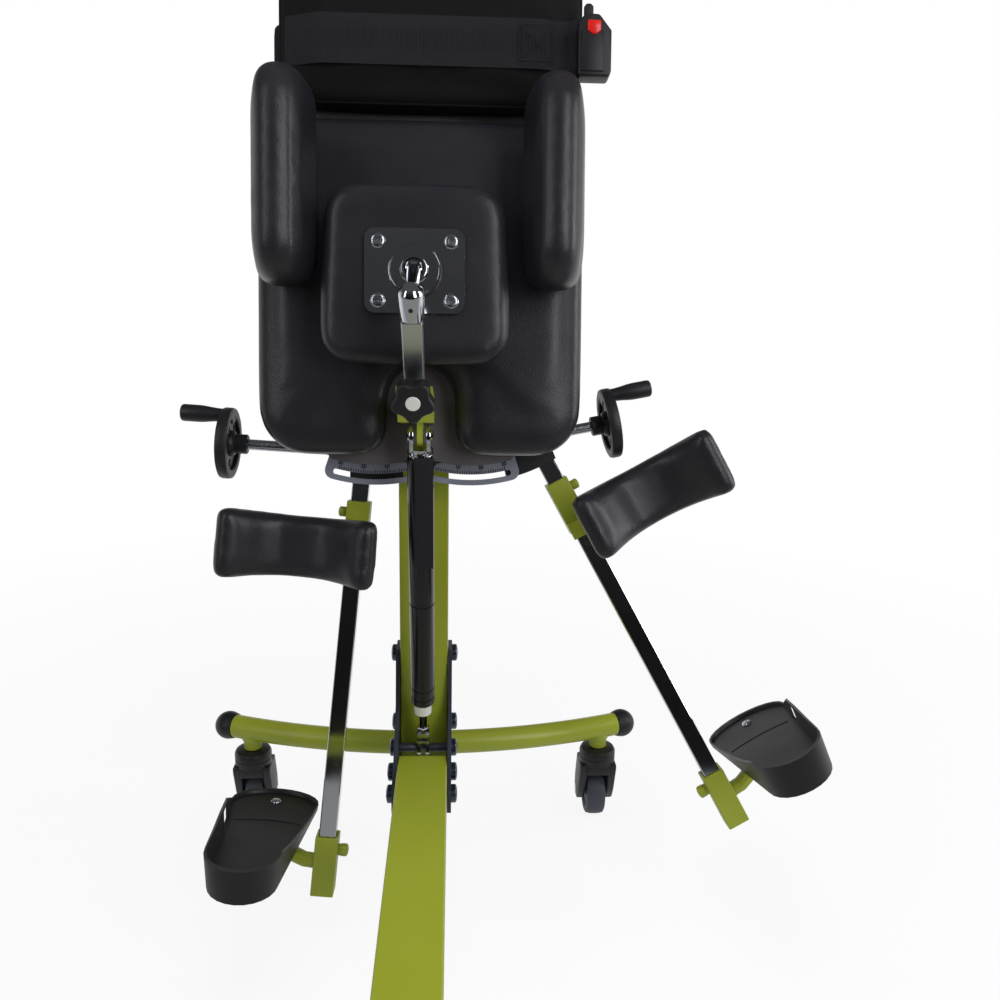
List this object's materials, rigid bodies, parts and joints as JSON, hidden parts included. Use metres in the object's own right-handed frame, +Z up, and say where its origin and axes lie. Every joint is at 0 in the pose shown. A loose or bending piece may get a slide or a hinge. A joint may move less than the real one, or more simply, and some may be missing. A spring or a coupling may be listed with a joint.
{
  "type": "standing frame",
  "caption": "Wheeled prone standing frame: tilting chest, pelvic and buttock pads on a gas spring column, with abducting legs, knee pads and foot trays set by handwheel screws.",
  "frame": {"origin": "centre of the bounding box at floor level", "axes": "+Z up; +Y the way the user faces; +X to the user's right"},
  "size_m": [0.7688, 0.8766, 1.1741],
  "materials": {
    "lime_powder_coat": "smooth powder coat",
    "black_steel": "satin black",
    "grey_scale": "satin grey",
    "chrome": "polished",
    "zinc_steel": "zinc plated",
    "black_foam": "grained integral skin",
    "black_fabric": "woven",
    "black_plastic": "satin",
    "gas_cylinder_black": "gloss black",
    "white_plastic": "satin",
    "red_plastic": "gloss",
    "grey_rubber": "matt"
  },
  "bodies": {
    "base": {"base_spine": "lime_powder_coat", "front_cross_tube": "lime_powder_coat", "rear_cross_tube": "lime_powder_coat", "tube_end_ball_front_left": "black_plastic", "tube_end_ball_front_right": "black_plastic", "column": "lime_powder_coat", "joint_plates": "black_steel"},
    "gas_rod": {"gas_spring_rod": "chrome"},
    "gas_cylinder": {"gas_spring_cylinder": "gas_cylinder_black", "gas_spring_collar": "white_plastic", "pull_strap": "black_fabric", "strap_ring": "zinc_steel"},
    "tilting_body": {"tilt_frame": "lime_powder_coat", "pelvic_board": "black_steel", "pelvic_pad": "black_foam", "scale_plate_left": "grey_scale", "scale_plate_right": "grey_scale", "chest_board": "black_plastic", "chest_pad": "black_fabric", "chest_belt": "black_fabric", "belt_buckle": "black_plastic", "arm_bracket": "lime_powder_coat"},
    "button": {"buckle_button": "red_plastic"},
    "knob": {"star_knob": "black_plastic"},
    "pad_arm": {"arm_tube": "chrome", "swivel_rod": "chrome"},
    "buttock": {"swivel_plate": "chrome", "buttock_pad": "black_foam"},
    "leg_left": {"leg_arm_left": "black_steel", "leg_post_left": "chrome"},
    "knee_left": {"knee_clamp_left": "lime_powder_coat", "knee_pad_left": "black_foam"},
    "foot_left": {"foot_clamp_left": "lime_powder_coat"},
    "tray_left": {"foot_tray_left": "black_plastic"},
    "nut_left": {"screw_nut_left": "black_steel"},
    "bearing_left": {"screw_bearing_left": "black_steel"},
    "screw_left": {"lead_screw_left": "zinc_steel", "handwheel_left": "black_plastic"},
    "grip_left": {"handle_grip_left": "black_plastic"},
    "hip_left": {"hip_guide_left": "black_foam"},
    "leg_right": {"leg_arm_right": "black_steel", "leg_post_right": "chrome"},
    "knee_right": {"knee_clamp_right": "lime_powder_coat", "knee_pad_right": "black_foam"},
    "foot_right": {"foot_clamp_right": "lime_powder_coat"},
    "tray_right": {"foot_tray_right": "black_plastic"},
    "nut_right": {"screw_nut_right": "black_steel"},
    "bearing_right": {"screw_bearing_right": "black_steel"},
    "screw_right": {"lead_screw_right": "zinc_steel", "handwheel_right": "black_plastic"},
    "grip_right": {"handle_grip_right": "black_plastic"},
    "hip_right": {"hip_guide_right": "black_foam"},
    "fork_front_left": {"castor_fork_front_left": "black_plastic"},
    "wheel_front_left": {"castor_wheel_front_left": "grey_rubber"},
    "fork_front_right": {"castor_fork_front_right": "black_plastic"},
    "wheel_front_right": {"castor_wheel_front_right": "grey_rubber"},
    "fork_rear_left": {"castor_fork_rear_left": "black_plastic"},
    "wheel_rear_left": {"castor_wheel_rear_left": "grey_rubber"},
    "fork_rear_right": {"castor_fork_rear_right": "black_plastic"},
    "wheel_rear_right": {"castor_wheel_rear_right": "grey_rubber"}
  },
  "joints": [
    {"name": "prone_tilt", "type": "hinge", "parent": "base", "child": "tilting_body", "pos_m": [-0.08488, 0.31101, 0.7], "axis": [-1, 0, 0], "range_deg": [0, 20]},
    {"name": "gas_swing", "type": "hinge", "parent": "base", "child": "gas_rod", "pos_m": [-0.08488, 0.23601, 0.195], "axis": [1, 0, 0], "range_deg": [0, 1.44]},
    {"name": "gas_stroke", "type": "slide", "parent": "gas_rod", "child": "gas_cylinder", "axis": [0, -0.209, 0.9779], "range_m": [0, 0.0707]},
    {"name": "abduction_left", "type": "hinge", "parent": "tilting_body", "child": "leg_left", "pos_m": [-0.13888, 0.31361, 0.71477], "axis": [0, 0.9848, -0.1736], "range_deg": [-5.4, 24.6]},
    {"name": "nut_turn_left", "type": "hinge", "parent": "leg_left", "child": "nut_left", "pos_m": [-0.15328, 0.21133, 0.57814], "axis": [0, 0.9848, -0.1736], "range_deg": [-25, 25]},
    {"name": "screw_swing_left", "type": "hinge", "parent": "tilting_body", "child": "bearing_left", "pos_m": [-0.10688, 0.21087, 0.5755], "axis": [0, 0.9848, -0.1736], "range_deg": [-12, 12]},
    {"name": "screw_spin_left", "type": "hinge", "parent": "bearing_left", "child": "screw_left", "pos_m": [-0.10688, 0.21087, 0.5755], "axis": [-0.9983, 0.01, 0.0568], "continuous": true},
    {"name": "grip_turn_left", "type": "hinge", "parent": "screw_left", "child": "grip_left", "pos_m": [-0.30077, 0.2182, 0.6171], "axis": [-0.9983, 0.01, 0.0568], "continuous": true},
    {"name": "knee_height_left", "type": "slide", "parent": "leg_left", "child": "knee_left", "axis": [0.0941, 0.1729, 0.9804], "range_m": [-0.12, 0]},
    {"name": "foot_height_left", "type": "slide", "parent": "leg_left", "child": "foot_left", "axis": [0.0941, 0.1729, 0.9804], "range_m": [0, 0.12]},
    {"name": "tray_tip_left", "type": "hinge", "parent": "foot_left", "child": "tray_left", "pos_m": [-0.19855, 0.16097, 0.10076], "axis": [0.9956, -0.0163, -0.0927], "range_deg": [-15, 10]},
    {"name": "hip_width_left", "type": "slide", "parent": "tilting_body", "child": "hip_left", "axis": [-1, 0, 0], "range_m": [-0.003, 0.02]},
    {"name": "abduction_right", "type": "hinge", "parent": "tilting_body", "child": "leg_right", "pos_m": [-0.03088, 0.31361, 0.71477], "axis": [0, -0.9848, 0.1736], "range_deg": [-28.9, 1.1]},
    {"name": "nut_turn_right", "type": "hinge", "parent": "leg_right", "child": "nut_right", "pos_m": [0.04306, 0.21452, 0.59623], "axis": [0, -0.9848, 0.1736], "range_deg": [-25, 25]},
    {"name": "screw_swing_right", "type": "hinge", "parent": "tilting_body", "child": "bearing_right", "pos_m": [-0.06288, 0.21087, 0.5755], "axis": [0, -0.9848, 0.1736], "range_deg": [-12, 12]},
    {"name": "screw_spin_right", "type": "hinge", "parent": "bearing_right", "child": "screw_right", "pos_m": [-0.06288, 0.21087, 0.5755], "axis": [0.9808, 0.0338, 0.192], "continuous": true},
    {"name": "grip_turn_right", "type": "hinge", "parent": "screw_right", "child": "grip_right", "pos_m": [0.12331, 0.22278, 0.64306], "axis": [0.9808, 0.0338, 0.192], "continuous": true},
    {"name": "knee_height_right", "type": "slide", "parent": "leg_right", "child": "knee_right", "axis": [-0.4833, 0.152, 0.8622], "range_m": [-0.12, 0]},
    {"name": "foot_height_right", "type": "slide", "parent": "leg_right", "child": "foot_right", "axis": [-0.4833, 0.152, 0.8622], "range_m": [0, 0.12]},
    {"name": "tray_tip_right", "type": "hinge", "parent": "foot_right", "child": "tray_right", "pos_m": [0.27552, 0.17419, 0.17575], "axis": [0.8755, 0.0839, 0.4759], "range_deg": [-15, 10]},
    {"name": "hip_width_right", "type": "slide", "parent": "tilting_body", "child": "hip_right", "axis": [1, 0, 0], "range_m": [-0.003, 0.02]},
    {"name": "arm_reach", "type": "slide", "parent": "tilting_body", "child": "pad_arm", "axis": [0, -0.6441, 0.7649], "range_m": [0, 0.012]},
    {"name": "pad_swivel", "type": "hinge", "parent": "pad_arm", "child": "buttock", "pos_m": [-0.08888, 0.10248, 0.78145], "axis": [0, 0.1736, 0.9848], "range_deg": [-6, 6]},
    {"name": "knob_turn", "type": "hinge", "parent": "tilting_body", "child": "knob", "pos_m": [-0.08888, 0.09943, 0.66158], "axis": [0, -0.9659, -0.2588], "continuous": true},
    {"name": "button_press", "type": "slide", "parent": "tilting_body", "child": "button", "axis": [0, 0.9848, -0.1736], "range_m": [0, 0.0025], "stiffness_N_per_m": 300},
    {"name": "castor_swivel_front_left", "type": "hinge", "parent": "base", "child": "fork_front_left", "pos_m": [-0.33088, 0.37882, 0.1185], "axis": [0, 0, 1], "continuous": true},
    {"name": "castor_roll_front_left", "type": "hinge", "parent": "fork_front_left", "child": "wheel_front_left", "pos_m": [-0.33088, 0.40081, 0.0375], "axis": [1, 0, 0], "continuous": true},
    {"name": "castor_swivel_front_right", "type": "hinge", "parent": "base", "child": "fork_front_right", "pos_m": [0.16112, 0.37882, 0.1185], "axis": [0, 0, 1], "continuous": true},
    {"name": "castor_roll_front_right", "type": "hinge", "parent": "fork_front_right", "child": "wheel_front_right", "pos_m": [0.16112, 0.40081, 0.0375], "axis": [1, 0, 0], "continuous": true},
    {"name": "castor_swivel_rear_left", "type": "hinge", "parent": "base", "child": "fork_rear_left", "pos_m": [-0.33088, -0.4068, 0.1185], "axis": [0, 0, 1], "continuous": true},
    {"name": "castor_roll_rear_left", "type": "hinge", "parent": "fork_rear_left", "child": "wheel_rear_left", "pos_m": [-0.33088, -0.3848, 0.0375], "axis": [1, 0, 0], "continuous": true},
    {"name": "castor_swivel_rear_right", "type": "hinge", "parent": "base", "child": "fork_rear_right", "pos_m": [0.16112, -0.4068, 0.1185], "axis": [0, 0, 1], "continuous": true},
    {"name": "castor_roll_rear_right", "type": "hinge", "parent": "fork_rear_right", "child": "wheel_rear_right", "pos_m": [0.16112, -0.3848, 0.0375], "axis": [1, 0, 0], "continuous": true}
  ],
  "couplings": [
    {"joint": "gas_swing", "follows": "prone_tilt", "ratio": 0.06},
    {"joint": "gas_stroke", "follows": "prone_tilt", "m_per_rad": 0.184},
    {"joint": "nut_turn_left", "follows": "abduction_left", "ratio": -0.67},
    {"joint": "screw_swing_left", "follows": "abduction_left", "ratio": 0.33},
    {"joint": "screw_spin_left", "follows": "abduction_left", "ratio": -157.5},
    {"joint": "nut_turn_right", "follows": "abduction_right", "ratio": -0.67},
    {"joint": "screw_swing_right", "follows": "abduction_right", "ratio": 0.33},
    {"joint": "screw_spin_right", "follows": "abduction_right", "ratio": -157.5}
  ]
}
